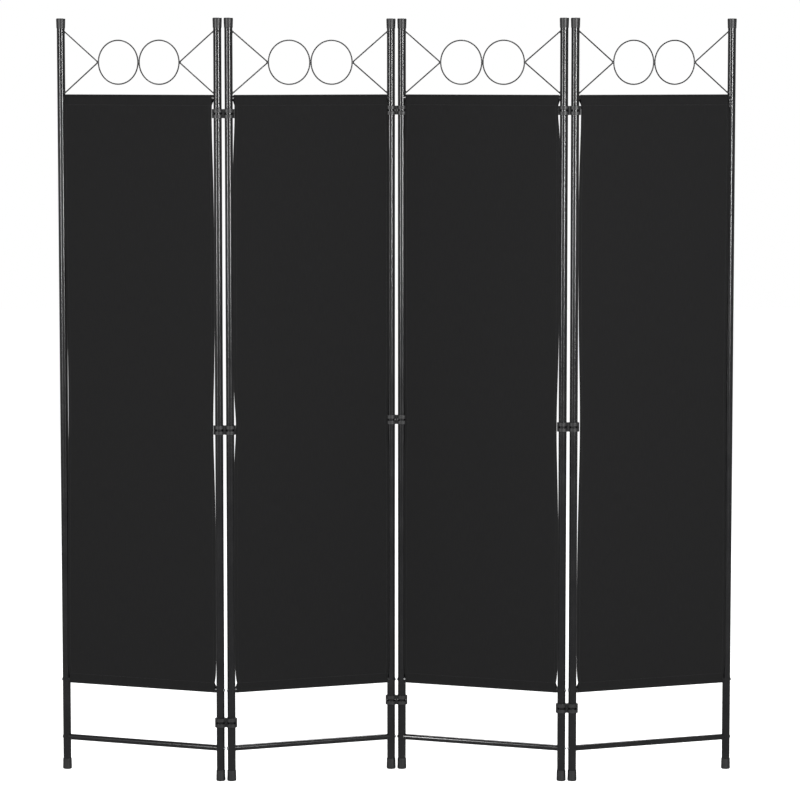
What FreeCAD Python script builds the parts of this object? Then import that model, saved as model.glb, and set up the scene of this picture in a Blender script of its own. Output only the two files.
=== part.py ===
import FreeCAD, Part
import math
import os

import Sketcher
from FreeCAD import Placement, Rotation, Vector

# Four-panel folding room divider screen, in millimetres.
# Frame: +Z up, +X to the right along the screen, -Y to the front. The origin
# is on the floor, in the middle of the four panels as they stand in a zigzag.
# Each panel is two round steel posts in three plugged-together lengths, two
# rods that hold the cloth, a foot rail and a wire ornament. Plastic clips
# join neighbouring posts, and each post turns in its collar.

DIMENSIONS = {
    # the screen as it stands
    "overall_height": 1700,
    "post_pitch": 382,
    "fold_angle": 21,
    "fold_spacing": 24.5,
    # round posts, plugged together at two heights
    "tube_radius": 9,
    "tube_wall": 0.6,
    "lower_joint": 775,
    "upper_joint": 1494,
    "spigot_length": 30,
    "spigot_play": 0.05,
    "swage_height": 4,
    # caps on the tops and shoes on the feet
    "cap_height": 22,
    "cap_crown": 2.5,
    "cap_mouth_radius": 9.6,
    "cap_crown_radius": 10.2,
    "cap_rounding": 2.2,
    "foot_height": 24,
    "foot_sole": 3,
    "foot_mouth_radius": 9.8,
    "foot_sole_radius": 10.3,
    "foot_rounding": 2.8,
    # cross tubes: the foot rail and the two rods in the cloth's pockets
    "rail_radius": 6.5,
    "rail_wall": 0.6,
    "rail_height": 74,
    "plug_depth": 14,
    "thread_radius": 2.05,
    "lower_rod": 206,
    "upper_rod": 1524,
    # screws through the posts into the foot rail and the lower rod
    "screw_radius": 2,
    "screw_length": 30,
    "screw_hole_radius": 2.15,
    "head_radius": 3.5,
    "head_height": 1.6,
    "head_rounding": 0.7,
    # wire ornament
    "wire_radius": 1.5,
    "ring_radius": 48.5,
    "ornament_height": 1602.5,
    "strut_slope": 39.5,
    "strut_bend": 4,
    # cloth
    "cloth_gauge": 0.5,
    "sleeve_play": 0.4,
    "pocket_half_width": 181.6,
    "hem_half_width": 179,
    "waist_half_width": 177,
    "pocket_depth": 16,
    "waist_start": 70,
    # clips that pair neighbouring posts
    "clip_height": 20,
    "collar_radius": 12.5,
    "collar_play": 0.06,
    "clip_web": 10,
    "clip_window": 5,
    "clip_edge": 0.6,
    "clip_upper_left": 1490,
    "clip_upper_middle": 1496,
    "clip_upper_right": 1497,
    "clip_middle_left": 790,
    "clip_middle_middle": 800,
    "clip_middle_right": 797,
    "clip_lower_left": 132,
    "clip_lower_middle": 159,
    "clip_lower_right": 165,
}

doc = FreeCAD.newDocument("room_divider")
dims = doc.addObject("Spreadsheet::Sheet", "dims")
for row, (alias, number) in enumerate(DIMENSIONS.items(), start=1):
    dims.set(f"A{row}", alias)
    dims.set(f"B{row}", str(number))
    dims.setAlias(f"B{row}", alias)
doc.recompute()

PANELS = (1, 2, 3, 4)
LINE_NAMES = {1: "left", 2: "middle", 3: "right"}
SIDES = {"left": -1, "right": 1}
MIDDLE_PANEL = 2.5
MIDDLE_LINE = 2

PANEL_STEP = "(dims.post_pitch * cos(dims.fold_angle) + dims.fold_spacing)"
HALF_PITCH = "(dims.post_pitch / 2)"
POST_FACE = "(dims.post_pitch / 2 - dims.tube_radius)"
SLEEVE_INNER = "(dims.rail_radius + dims.sleeve_play)"
SLEEVE_OUTER = "(dims.rail_radius + dims.sleeve_play + dims.cloth_gauge)"

ORIGIN_POINT = (-1, 1)
ACROSS_AXIS = -1
UPRIGHT_AXIS = -2
START = 1
END = 2
CENTRE = 3

Z_AXIS = Vector(0, 0, 1)
CLOSE = 0.001

subparts = []


def value(formula):
    """The number that a formula in the sheet's names gives."""
    return float(dims.evalExpression(formula))


def keep(thing, label):
    """Names a finished sub-part and marks it to be written out."""
    thing.Label = label
    subparts.append(thing)


def stand(thing, x, y, z, turn):
    """Puts an object at x, y, z, turned about the upright axis, by formula."""
    thing.Placement = Placement(Vector(0, 0, 0), Rotation(Z_AXIS, 1))
    thing.setExpression("Placement.Base.x", x)
    thing.setExpression("Placement.Base.y", y)
    thing.setExpression("Placement.Base.z", z)
    thing.setExpression("Placement.Rotation.Angle", turn)


def in_panel(thing, panel, along="0", z="0", about_face=False):
    """Puts an object in a panel, at a distance along it from its middle."""
    slant = "dims.fold_angle" if panel % 2 == 0 else "-dims.fold_angle"
    x = f"{panel - MIDDLE_PANEL} * {PANEL_STEP} + {along} * cos({slant})"
    y = f"{along} * sin({slant})"
    turn = f"{slant} + 180" if about_face else slant
    stand(thing, x, y, z, turn)


# ---- sketches and features ------------------------------------------------


def new_sketch(body, name, plane_role):
    """An empty sketch on one of the body's own origin planes."""
    sketch = body.newObject("Sketcher::SketchObject", name)
    planes = [item for item in body.Origin.OriginFeatures if item.Role == plane_role]
    sketch.AttachmentSupport = [(planes[0], "")]
    sketch.MapMode = "FlatFace"
    return sketch


def tie(sketch, kind, *where):
    sketch.addConstraint(Sketcher.Constraint(kind, *where))


def tie_size(sketch, kind, *where, formula):
    """A constraint whose size follows a formula in the sheet's names."""
    index = sketch.addConstraint(Sketcher.Constraint(kind, *where, value(formula)))
    sketch.setExpression(f"Constraints[{index}]", formula)


def pin_point(sketch, edge, point, across, up):
    """Fixes a point by its two distances from the sketch's origin."""
    for kind, axis, formula in (
        ("DistanceX", UPRIGHT_AXIS, across),
        ("DistanceY", ACROSS_AXIS, up),
    ):
        if formula == "0":
            tie(sketch, "PointOnObject", edge, point, axis)
        else:
            tie_size(sketch, kind, *ORIGIN_POINT, edge, point, formula=formula)


def add_outline(sketch, corners):
    """A closed outline of straight edges through corners given by formula."""
    points = [Vector(value(across), value(up), 0) for across, up in corners]
    edges = []
    for point, following in zip(points, points[1:] + points[:1]):
        edges.append(sketch.addGeometry(Part.LineSegment(point, following), False))
    for edge, following in zip(edges, edges[1:] + edges[:1]):
        tie(sketch, "Coincident", edge, END, following, START)
    for edge, (across, up) in zip(edges, corners):
        pin_point(sketch, edge, START, across, up)


def add_circle(sketch, across, up, radius):
    middle = Vector(value(across), value(up), 0)
    circle = sketch.addGeometry(Part.Circle(middle, Z_AXIS, value(radius)), False)
    tie_size(sketch, "Radius", circle, formula=radius)
    pin_point(sketch, circle, CENTRE, across, up)


def add_arc(sketch, across, up, radius, start_degrees, end_degrees):
    """An arc with a fixed centre and radius; its ends are left to its neighbours."""
    middle = Vector(value(across), value(up), 0)
    circle = Part.Circle(middle, Z_AXIS, value(radius))
    span = Part.ArcOfCircle(circle, math.radians(start_degrees), math.radians(end_degrees))
    arc = sketch.addGeometry(span, False)
    tie_size(sketch, "Radius", arc, formula=radius)
    pin_point(sketch, arc, CENTRE, across, up)
    return arc


def turned(body, name, corners, axis):
    """A solid turned from half its outline, about a sketch axis."""
    sketch = new_sketch(body, f"{name}_outline", "XZ_Plane")
    add_outline(sketch, corners)
    solid = body.newObject("PartDesign::Revolution", f"{name}_turned")
    solid.Profile = sketch
    solid.ReferenceAxis = (sketch, [axis])
    solid.Angle = 360
    doc.recompute()
    return solid


def padded(body, name, sketch, length):
    """A sketch thickened evenly to both sides of its plane."""
    solid = body.newObject("PartDesign::Pad", name)
    solid.Profile = sketch
    solid.SideType = "Symmetric"
    solid.setExpression("Length", length)
    doc.recompute()
    return solid


def cut_through(body, name, sketch):
    """Cuts a sketch's shapes right through the body, both ways."""
    before = body.Shape.Volume
    pocket = body.newObject("PartDesign::Pocket", name)
    pocket.Profile = sketch
    pocket.SideType = "Symmetric"
    pocket.Type = "ThroughAll"
    doc.recompute()
    if body.Shape.Volume >= before:
        raise RuntimeError(f"{name} cuts nothing")
    return pocket


def round_rim(body, solid, name, radius, rim_radius, rim_distance):
    """Rounds the rim of a given radius whose centre is so far from the origin."""
    rims = []
    for number, edge in enumerate(solid.Shape.Edges, start=1):
        if not isinstance(edge.Curve, Part.Circle):
            continue
        radius_fits = abs(edge.Curve.Radius - value(rim_radius)) < CLOSE
        distance_fits = abs(edge.Curve.Center.Length - value(rim_distance)) < CLOSE
        if radius_fits and distance_fits:
            rims.append(f"Edge{number}")
    fillet = body.newObject("PartDesign::Fillet", name)
    fillet.Base = (solid, rims)
    fillet.setExpression("Radius", radius)
    doc.recompute()


def keep_together(label, pieces):
    """Several separate solids of one kind, kept as one sub-part."""
    group = doc.addObject("Part::Compound", label)
    group.Links = pieces
    keep(group, label)
    return group


# ---- posts ----------------------------------------------------------------


def make_post_length(label, panel, side, bottom, top, has_spigot, screw_heights):
    """One length of a post: a tube, with a reduced spigot where it plugs in."""
    bore = "dims.tube_radius - dims.tube_wall"
    corners = [("dims.tube_radius", bottom), ("dims.tube_radius", top), (bore, top)]
    if has_spigot:
        spigot = f"{bore} - dims.spigot_play"
        spigot_bore = f"{spigot} - dims.tube_wall"
        spigot_end = f"{bottom} - dims.spigot_length"
        corners += [
            (bore, f"{bottom} + dims.swage_height"),
            (spigot_bore, bottom),
            (spigot_bore, spigot_end),
            (spigot, spigot_end),
            (spigot, bottom),
        ]
    else:
        corners.append((bore, bottom))
    body = doc.addObject("PartDesign::Body", label)
    turned(body, label, corners, "V_Axis")
    if screw_heights:
        holes = new_sketch(body, f"{label}_holes", "YZ_Plane")
        for height in screw_heights:
            add_circle(holes, "0", height, "dims.screw_hole_radius")
        cut_through(body, f"{label}_drilled", holes)
    in_panel(body, panel, along=f"{SIDES[side]} * {HALF_PITCH}")
    keep(body, label)


def make_posts(panel):
    lengths = {
        "bottom": ("dims.foot_sole", "dims.lower_joint", False, ["dims.rail_height", "dims.lower_rod"]),
        "middle": ("dims.lower_joint", "dims.upper_joint", True, []),
        "top": ("dims.upper_joint", "dims.overall_height - dims.cap_crown", True, []),
    }
    for side in SIDES:
        for part_of_post, (bottom, top, has_spigot, screws) in lengths.items():
            label = f"panel_{panel}_{side}_post_{part_of_post}"
            make_post_length(label, panel, side, bottom, top, has_spigot, screws)


# ---- caps and feet --------------------------------------------------------


def make_cap(panel, side):
    """A flared cap pushed over a post's top, its crown edge rounded."""
    mouth = "dims.overall_height - dims.cap_height"
    ceiling = "dims.overall_height - dims.cap_crown"
    corners = [
        ("dims.tube_radius", mouth),
        ("dims.cap_mouth_radius", mouth),
        ("dims.cap_crown_radius", "dims.overall_height"),
        ("0", "dims.overall_height"),
        ("0", ceiling),
        ("dims.tube_radius", ceiling),
    ]
    name = f"panel_{panel}_{side}_cap"
    cap = doc.addObject("PartDesign::Body", name)
    solid = turned(cap, name, corners, "V_Axis")
    round_rim(
        cap, solid, f"{name}_rounded", "dims.cap_rounding", "dims.cap_crown_radius", "dims.overall_height"
    )
    in_panel(cap, panel, along=f"{SIDES[side]} * {HALF_PITCH}")
    return cap


def make_foot(panel, side):
    """A shoe pushed over a post's bottom, its edge rounded at the floor."""
    corners = [
        ("0", "0"),
        ("dims.foot_sole_radius", "0"),
        ("dims.foot_mouth_radius", "dims.foot_height"),
        ("dims.tube_radius", "dims.foot_height"),
        ("dims.tube_radius", "dims.foot_sole"),
        ("0", "dims.foot_sole"),
    ]
    name = f"panel_{panel}_{side}_foot"
    foot = doc.addObject("PartDesign::Body", name)
    solid = turned(foot, name, corners, "V_Axis")
    round_rim(foot, solid, f"{name}_rounded", "dims.foot_rounding", "dims.foot_sole_radius", "0")
    in_panel(foot, panel, along=f"{SIDES[side]} * {HALF_PITCH}")
    return foot


# ---- cross tubes and their screws -----------------------------------------


def make_cross_tube(name, panel, height, plugged):
    """A tube between the posts, its ends cut to the posts, and plugged if screwed."""
    plug_end = f"({POST_FACE} - dims.plug_depth)"
    cavity_radius = "dims.rail_radius - dims.rail_wall"
    end_radius = "dims.thread_radius" if plugged else cavity_radius
    corners = [
        (f"-{HALF_PITCH}", end_radius),
        (f"-{HALF_PITCH}", "dims.rail_radius"),
        (HALF_PITCH, "dims.rail_radius"),
        (HALF_PITCH, end_radius),
    ]
    if plugged:
        corners += [
            (plug_end, "dims.thread_radius"),
            (plug_end, cavity_radius),
            (f"-{plug_end}", cavity_radius),
            (f"-{plug_end}", "dims.thread_radius"),
        ]
    tube = doc.addObject("PartDesign::Body", name)
    turned(tube, name, corners, "H_Axis")

    saddles = new_sketch(tube, f"{name}_saddles", "XY_Plane")
    for sign in SIDES.values():
        add_circle(saddles, f"{sign} * {HALF_PITCH}", "0", "dims.tube_radius")
    cut_through(tube, f"{name}_coped", saddles)
    in_panel(tube, panel, z=height)
    return tube


def make_screw(name, panel, side, height):
    """A round-headed screw, drawn along X with its head outwards."""
    corners = [
        ("-dims.screw_length", "0"),
        ("-dims.screw_length", "dims.screw_radius"),
        ("0", "dims.screw_radius"),
        ("0", "dims.head_radius"),
        ("dims.head_height", "dims.head_radius"),
        ("dims.head_height", "0"),
    ]
    screw = doc.addObject("PartDesign::Body", name)
    solid = turned(screw, name, corners, "H_Axis")
    round_rim(screw, solid, f"{name}_rounded", "dims.head_rounding", "dims.head_radius", "dims.head_height")
    reach = f"{SIDES[side]} * ({HALF_PITCH} + dims.tube_radius)"
    in_panel(screw, panel, along=reach, z=height, about_face=SIDES[side] < 0)
    return screw


def make_cross_tubes(panel):
    """The foot rail and lower rod are screwed in, and the upper rod is welded."""
    tubes = {}
    screws = []
    for name, height in {"foot_rail": "dims.rail_height", "lower_rod": "dims.lower_rod"}.items():
        tubes[name] = make_cross_tube(f"panel_{panel}_{name}", panel, height, plugged=True)
        for side in SIDES:
            screws.append(make_screw(f"panel_{panel}_{name}_{side}_screw", panel, side, height))
    upper_rod = make_cross_tube(f"panel_{panel}_upper_rod", panel, "dims.upper_rod", plugged=False)
    keep(tubes["foot_rail"], f"panel_{panel}_foot_rail")
    keep_together(f"panel_{panel}_cloth_rods", [tubes["lower_rod"], upper_rod])
    keep_together(f"panel_{panel}_screws", screws)


# ---- wire ornament --------------------------------------------------------


def make_ring(panel, side):
    ring = doc.addObject("Part::Torus", f"panel_{panel}_{side}_ring")
    ring.setExpression("Radius1", "dims.ring_radius")
    ring.setExpression("Radius2", "dims.wire_radius")
    ring.Placement = Placement(Vector(0, 0, 0), Rotation(Vector(1, 0, 0), 90))
    touching = f"{SIDES[side]} * (dims.ring_radius + dims.wire_radius)"
    ring.setExpression("Placement.Base.x", touching)
    ring.setExpression("Placement.Base.z", "dims.ornament_height")
    return ring


def make_strut(panel, side):
    """A wire bent to a V, its tip against a ring and its ends on the post."""
    tip = "(2 * dims.ring_radius + 3 * dims.wire_radius)"
    bend_middle = f"{tip} + dims.strut_bend"
    name = f"panel_{panel}_{side}_strut"
    strut = doc.addObject("PartDesign::Body", name)

    path = new_sketch(strut, f"{name}_path", "XZ_Plane")
    slope = value("dims.strut_slope")
    bend = add_arc(path, bend_middle, "0", "dims.strut_bend", 90 + slope, 180)
    tie(path, "PointOnObject", bend, END, ACROSS_AXIS)
    leg_start = path.getPoint(bend, START)
    reach = value(HALF_PITCH) - leg_start.x
    leg_end = leg_start + Vector(reach, reach * math.tan(math.radians(slope)), 0)
    leg = path.addGeometry(Part.LineSegment(leg_start, leg_end), False)
    tie(path, "Tangent", bend, START, leg, START)
    tie_size(path, "DistanceX", *ORIGIN_POINT, leg, END, formula=HALF_PITCH)
    index = path.addConstraint(Sketcher.Constraint("Angle", leg, math.radians(slope)))
    path.setExpression(f"Constraints[{index}]", "dims.strut_slope")

    section = new_sketch(strut, f"{name}_section", "XY_Plane")
    add_circle(section, tip, "0", "dims.wire_radius")
    upper_leg = strut.newObject("PartDesign::AdditivePipe", f"{name}_upper_leg")
    upper_leg.Profile = section
    upper_leg.Spine = path
    doc.recompute()

    both_legs = strut.newObject("PartDesign::Mirrored", f"{name}_both_legs")
    both_legs.Originals = [upper_leg]
    both_legs.MirrorPlane = (path, ["H_Axis"])
    strut.Tip = both_legs
    doc.recompute()

    saddle = new_sketch(strut, f"{name}_saddle", "XY_Plane")
    add_circle(saddle, HALF_PITCH, "0", "dims.tube_radius")
    cut_through(strut, f"{name}_coped", saddle)
    in_panel(strut, panel, z="dims.ornament_height", about_face=SIDES[side] < 0)
    return strut


# ---- cloth ----------------------------------------------------------------


def make_cloth(panel):
    """The hung cloth: a sheet in front, sewn round the upper and lower rods."""
    name = f"panel_{panel}_cloth"
    cloth = doc.addObject("PartDesign::Body", name)
    section = new_sketch(cloth, f"{name}_section", "YZ_Plane")
    outer = value(SLEEVE_OUTER)
    inner = value(SLEEVE_INNER)
    join = math.degrees(math.acos(inner / outer))
    upper = add_arc(section, "0", "dims.upper_rod", SLEEVE_OUTER, 180 + join, 540)
    lower = add_arc(section, "0", "dims.lower_rod", SLEEVE_OUTER, 180, 540 - join)
    front_start = section.getPoint(lower, START)
    front_end = section.getPoint(upper, END)
    front = section.addGeometry(Part.LineSegment(front_start, front_end), False)
    back_start = section.getPoint(upper, START)
    back_end = section.getPoint(lower, END)
    back = section.addGeometry(Part.LineSegment(back_start, back_end), False)
    tie(section, "Coincident", lower, START, front, START)
    tie(section, "Coincident", front, END, upper, END)
    tie(section, "Coincident", upper, START, back, START)
    tie(section, "Coincident", back, END, lower, END)
    tie(section, "Horizontal", upper, END, upper, CENTRE)
    tie(section, "Horizontal", lower, START, lower, CENTRE)
    for end_of_back in (START, END):
        tie_size(section, "DistanceX", *ORIGIN_POINT, back, end_of_back, formula=f"-{SLEEVE_INNER}")
    for height in ("dims.upper_rod", "dims.lower_rod"):
        add_circle(section, "0", height, SLEEVE_INNER)
    padded(cloth, f"{name}_sheet", section, "2 * dims.pocket_half_width")

    slits = new_sketch(cloth, f"{name}_slits", "XZ_Plane")
    low = "dims.lower_rod + dims.pocket_depth"
    high = "dims.upper_rod - dims.pocket_depth"
    for sign in SIDES.values():
        outside = f"{sign} * {HALF_PITCH}"
        hem = f"{sign} * dims.hem_half_width"
        waist = f"{sign} * dims.waist_half_width"
        slit = [
            (outside, low),
            (outside, high),
            (hem, high),
            (waist, f"{high} - dims.waist_start"),
            (waist, f"{low} + dims.waist_start"),
            (hem, low),
        ]
        add_outline(slits, slit)
    cut_through(cloth, f"{name}_sides_cut", slits)
    in_panel(cloth, panel)
    keep(cloth, name)


# ---- clips ----------------------------------------------------------------


def make_clip(name, line, height):
    """Two collars side by side, joined by a web, with a window on each face."""
    clip = doc.addObject("PartDesign::Body", name)
    for side, sign in SIDES.items():
        ring = new_sketch(clip, f"{name}_{side}_ring", "XY_Plane")
        add_circle(ring, f"{sign} * dims.fold_spacing / 2", "0", "dims.collar_radius")
        padded(clip, f"{name}_{side}_collar", ring, "dims.clip_height")
    web = new_sketch(clip, f"{name}_web_outline", "XY_Plane")
    half_web = "dims.clip_web / 2"
    web_end = "dims.fold_spacing / 4"
    add_outline(
        web,
        [
            (f"-{web_end}", f"-{half_web}"),
            (web_end, f"-{half_web}"),
            (web_end, half_web),
            (f"-{web_end}", half_web),
        ],
    )
    solid = padded(clip, f"{name}_web", web, "dims.clip_height")

    chamfer = clip.newObject("PartDesign::Chamfer", f"{name}_edges")
    flat_rims = []
    for number, edge in enumerate(solid.Shape.Edges, start=1):
        if edge.BoundBox.ZLength < CLOSE:
            flat_rims.append(f"Edge{number}")
    chamfer.Base = (solid, flat_rims)
    chamfer.setExpression("Size", "dims.clip_edge")
    doc.recompute()

    bores = new_sketch(clip, f"{name}_bore_circles", "XY_Plane")
    for sign in SIDES.values():
        add_circle(bores, f"{sign} * dims.fold_spacing / 2", "0", "dims.tube_radius + dims.collar_play")
    cut_through(clip, f"{name}_bores", bores)

    windows = new_sketch(clip, f"{name}_window_outlines", "XZ_Plane")
    half_window = "dims.clip_window / 2"
    for sign in SIDES.values():
        middle = f"{sign} * dims.fold_spacing / 2"
        add_outline(
            windows,
            [
                (f"{middle} - dims.tube_radius", f"-{half_window}"),
                (f"{middle} + dims.tube_radius", f"-{half_window}"),
                (f"{middle} + dims.tube_radius", half_window),
                (f"{middle} - dims.tube_radius", half_window),
            ],
        )
    cut_through(clip, f"{name}_windows", windows)

    near_or_far = "" if line == MIDDLE_LINE else "-"
    y = f"{near_or_far}{HALF_PITCH} * sin(dims.fold_angle)"
    stand(clip, f"{line - MIDDLE_LINE} * {PANEL_STEP}", y, height, "0")
    return clip


def make_clips(line):
    name = LINE_NAMES[line]
    clips = [
        make_clip(f"{name}_{place}_clip", line, f"dims.clip_{place}_{name}")
        for place in ("upper", "middle", "lower")
    ]
    keep_together(f"{name}_fold_clips", clips)


# ---- the whole screen -----------------------------------------------------

for panel in PANELS:
    make_posts(panel)
    make_cross_tubes(panel)
    in_panel(keep_together(f"panel_{panel}_rings", [make_ring(panel, side) for side in SIDES]), panel)
    keep_together(f"panel_{panel}_struts", [make_strut(panel, side) for side in SIDES])
    make_cloth(panel)
    keep_together(f"panel_{panel}_top_caps", [make_cap(panel, side) for side in SIDES])
    keep_together(f"panel_{panel}_foot_caps", [make_foot(panel, side) for side in SIDES])
for line in LINE_NAMES:
    make_clips(line)
doc.recompute()

for item in doc.Objects:
    if "Invalid" in item.State or "Error" in item.State:
        raise RuntimeError(f"{item.Label} failed: {item.State}")
for thing in subparts:
    if thing.Shape.isNull() or not thing.Shape.isValid():
        raise RuntimeError(f"{thing.Label} has no valid shape")

os.makedirs("parts", exist_ok=True)
for thing in subparts:
    thing.Shape.exportStep(f"parts/{thing.Label}.step")
    print(f"{thing.Label}: {len(thing.Shape.Solids)} solids, {thing.Shape.Volume:.0f} mm3")
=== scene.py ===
# %% [markdown]
# # A folding room divider screen
#
# Four tall panels stand in a zigzag. Each panel is two steel posts, two rods
# that carry a black cloth, a foot rail, and a wire ornament at the top.
# Plastic clips pair the posts where panels meet. This lesson starts from the
# engineer's model, the frame, and gives every piece its finished shape and
# surface. Sizes are in metres. The frame says where everything is, so no
# piece has to be fitted by eye.

# %% Load the frame
import math

import bmesh
import bpy
from mathutils import Matrix, Vector


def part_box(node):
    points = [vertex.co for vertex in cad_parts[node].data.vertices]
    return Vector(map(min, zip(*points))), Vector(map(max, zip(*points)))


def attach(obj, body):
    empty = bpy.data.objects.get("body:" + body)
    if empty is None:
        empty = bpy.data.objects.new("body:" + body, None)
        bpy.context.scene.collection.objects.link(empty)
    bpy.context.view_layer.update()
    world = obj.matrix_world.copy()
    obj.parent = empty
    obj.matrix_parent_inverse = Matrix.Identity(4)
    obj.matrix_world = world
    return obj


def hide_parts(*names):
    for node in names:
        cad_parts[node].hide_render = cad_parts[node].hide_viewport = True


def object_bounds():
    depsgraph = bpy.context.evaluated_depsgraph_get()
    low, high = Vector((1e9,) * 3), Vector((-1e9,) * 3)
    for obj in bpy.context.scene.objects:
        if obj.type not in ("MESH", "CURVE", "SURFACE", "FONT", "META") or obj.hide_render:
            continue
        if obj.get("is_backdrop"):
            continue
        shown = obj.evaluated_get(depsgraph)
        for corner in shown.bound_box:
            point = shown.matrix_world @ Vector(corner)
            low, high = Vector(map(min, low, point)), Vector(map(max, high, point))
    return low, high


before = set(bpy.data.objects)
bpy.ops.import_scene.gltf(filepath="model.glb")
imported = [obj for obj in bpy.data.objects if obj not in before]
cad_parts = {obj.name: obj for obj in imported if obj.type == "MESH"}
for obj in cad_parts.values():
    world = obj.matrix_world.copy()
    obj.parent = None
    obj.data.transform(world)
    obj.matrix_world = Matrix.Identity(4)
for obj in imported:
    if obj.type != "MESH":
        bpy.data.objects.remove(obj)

cad_low, cad_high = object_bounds()
print("the frame is", [round(side, 3) for side in cad_high - cad_low], "m")

# %% [markdown]
# ## Each panel's own directions
#
# The panels are alike, but each stands at its own angle. It is easier to
# model one flat panel and then put it in place four times. The frame's two
# posts give a panel's middle and its direction, and a matrix keeps both.
# Inside a panel, X runs along it to the right, Y to the back and Z up.

# %% Panel places
MM = 0.001
PANELS = (1, 2, 3, 4)
SIDES = {"left": -1, "right": 1}
UP = Vector((0, 0, 1))


def centre_of(node):
    low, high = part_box(node)
    return (low + high) / 2


def panel_place(panel):
    """The matrix that takes a flat panel to where this panel stands."""
    left = centre_of(f"panel_{panel}_left_post_bottom")
    right = centre_of(f"panel_{panel}_right_post_bottom")
    along = (right - left).normalized()
    place = Matrix((along, UP.cross(along), UP)).transposed().to_4x4()
    place.translation = (left.x / 2 + right.x / 2, left.y / 2 + right.y / 2, 0)
    return place


left_post = centre_of("panel_2_left_post_bottom")
right_post = centre_of("panel_2_right_post_bottom")
HALF_PITCH = (right_post - left_post).length / 2
print("posts stand", round(2 * HALF_PITCH / MM, 1), "mm apart")

# %% [markdown]
# ## The camera
#
# The screen is seen from the front and from nearly its own height. The
# camera stands far away with a long lens, so that the posts stay close to
# parallel, and looks down just enough to have the whole screen in view.

# %% Camera
CAMERA_PLACE = (0.008, -7.8, 1.6)
CAMERA_DOWN = math.radians(5.49)
LENS_MM = 157.6
SENSOR_MM = 36

camera_data = bpy.data.cameras.new("camera")
camera_data.lens = LENS_MM
camera_data.sensor_width = SENSOR_MM
camera = bpy.data.objects.new("camera", camera_data)
camera.location = CAMERA_PLACE
camera.rotation_euler = (math.pi / 2 - CAMERA_DOWN, 0, 0)
bpy.context.scene.collection.objects.link(camera)
bpy.context.scene.camera = camera
print("camera at", CAMERA_PLACE, "with a", LENS_MM, "mm lens")

# %% [markdown]
# ## Light and floor
#
# Black gloss shows only what it reflects, so the lights matter more here
# than the colours. Two tall soft boxes stand in front, left and right, and
# each draws a long thin bright line down every post. The right one is the
# stronger. They end above knee height, which lets the lines fade towards
# the floor. A broad box high up behind lights the back, and is too high for
# an upright post to mirror it to the front. The surroundings are plain
# white to the eye but dim to the object, as in a studio where only the
# backdrop is lit. The Standard view keeps white and black as they are.

# %% Studio
BACKDROP_WHITE = (1, 1, 1, 1)
ROOM_LIGHT = 0.24
FLOOR_SIZE = 30
FLOOR_GLOW = 0.8
FLOOR_GREY = (0.86, 0.86, 0.86, 1)
BOXES = {
    "left_strip": {
        "place": (-2.75, -2.8, 1.75),
        "aim_height": 1.75,
        "width": 0.3,
        "height": 2.0,
        "watts": 85,
    },
    "right_strip": {
        "place": (1.75, -3.2, 1.85),
        "aim_height": 1.85,
        "width": 0.25,
        "height": 1.9,
        "watts": 125,
    },
    "back_box": {
        "place": (0.5, 3.2, 4.3),
        "aim_height": 0.9,
        "width": 2.4,
        "height": 1.6,
        "watts": 130,
    },
}

scene = bpy.context.scene
scene.view_settings.view_transform = "Standard"

world = bpy.data.worlds.new("studio")
world.use_nodes = True
scene.world = world
sky = world.node_tree
sky.nodes.clear()
seen = sky.nodes.new("ShaderNodeBackground")
seen.inputs["Color"].default_value = BACKDROP_WHITE
felt = sky.nodes.new("ShaderNodeBackground")
felt.inputs["Color"].default_value = BACKDROP_WHITE
felt.inputs["Strength"].default_value = ROOM_LIGHT
ray = sky.nodes.new("ShaderNodeLightPath")
choose = sky.nodes.new("ShaderNodeMixShader")
out = sky.nodes.new("ShaderNodeOutputWorld")
sky.links.new(ray.outputs["Is Camera Ray"], choose.inputs["Fac"])
sky.links.new(felt.outputs[0], choose.inputs[1])
sky.links.new(seen.outputs[0], choose.inputs[2])
sky.links.new(choose.outputs[0], out.inputs["Surface"])

for name, box in BOXES.items():
    lamp = bpy.data.lights.new(name, "AREA")
    lamp.shape = "RECTANGLE"
    lamp.size = box["width"]
    lamp.size_y = box["height"]
    lamp.energy = box["watts"]
    stand = bpy.data.objects.new(name, lamp)
    stand.location = box["place"]
    aim = Vector((0, 0, box["aim_height"])) - stand.location
    stand.rotation_euler = aim.to_track_quat("-Z", "Y").to_euler()
    scene.collection.objects.link(stand)
print("lit by", len(BOXES), "boxes and the room")

# %% Floor
floor_material = bpy.data.materials.new("pale_floor")
floor_material.use_nodes = True
floor_shader = floor_material.node_tree.nodes["Principled BSDF"]
floor_shader.inputs["Base Color"].default_value = FLOOR_GREY
floor_shader.inputs["Roughness"].default_value = 0.9
floor_shader.inputs["Emission Color"].default_value = BACKDROP_WHITE
floor_shader.inputs["Emission Strength"].default_value = FLOOR_GLOW

floor_mesh = bpy.data.meshes.new("floor")
floor_shape = bmesh.new()
bmesh.ops.create_grid(floor_shape, x_segments=1, y_segments=1, size=FLOOR_SIZE / 2)
floor_shape.to_mesh(floor_mesh)
floor_shape.free()
floor_mesh.materials.append(floor_material)
floor = bpy.data.objects.new("floor", floor_mesh)
floor.visible_glossy = False
scene.collection.objects.link(floor)
floor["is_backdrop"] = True

# %% [markdown]
# ## Finishes
#
# There are five. The steel is powder coated: a gloss black skin with a fine
# orange peel that makes a reflection slightly uneven. The wire has the same
# coat, a little duller because thin wire is coated thinner. The plastic has
# the faint grain of a moulding tool. The screws are zinc plated. The cloth
# is plain woven polyester. Noise textures read Object coordinates, which are
# real distances here, so the grain has the right size on every piece.

# %% Tools for materials
def new_material(name, **settings):
    """A Principled material with the given sockets set."""
    material = bpy.data.materials.new(name)
    material.use_nodes = True
    shader = material.node_tree.nodes["Principled BSDF"]
    for socket, number in settings.items():
        shader.inputs[socket.replace("_", " ")].default_value = number
    return material, shader


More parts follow.
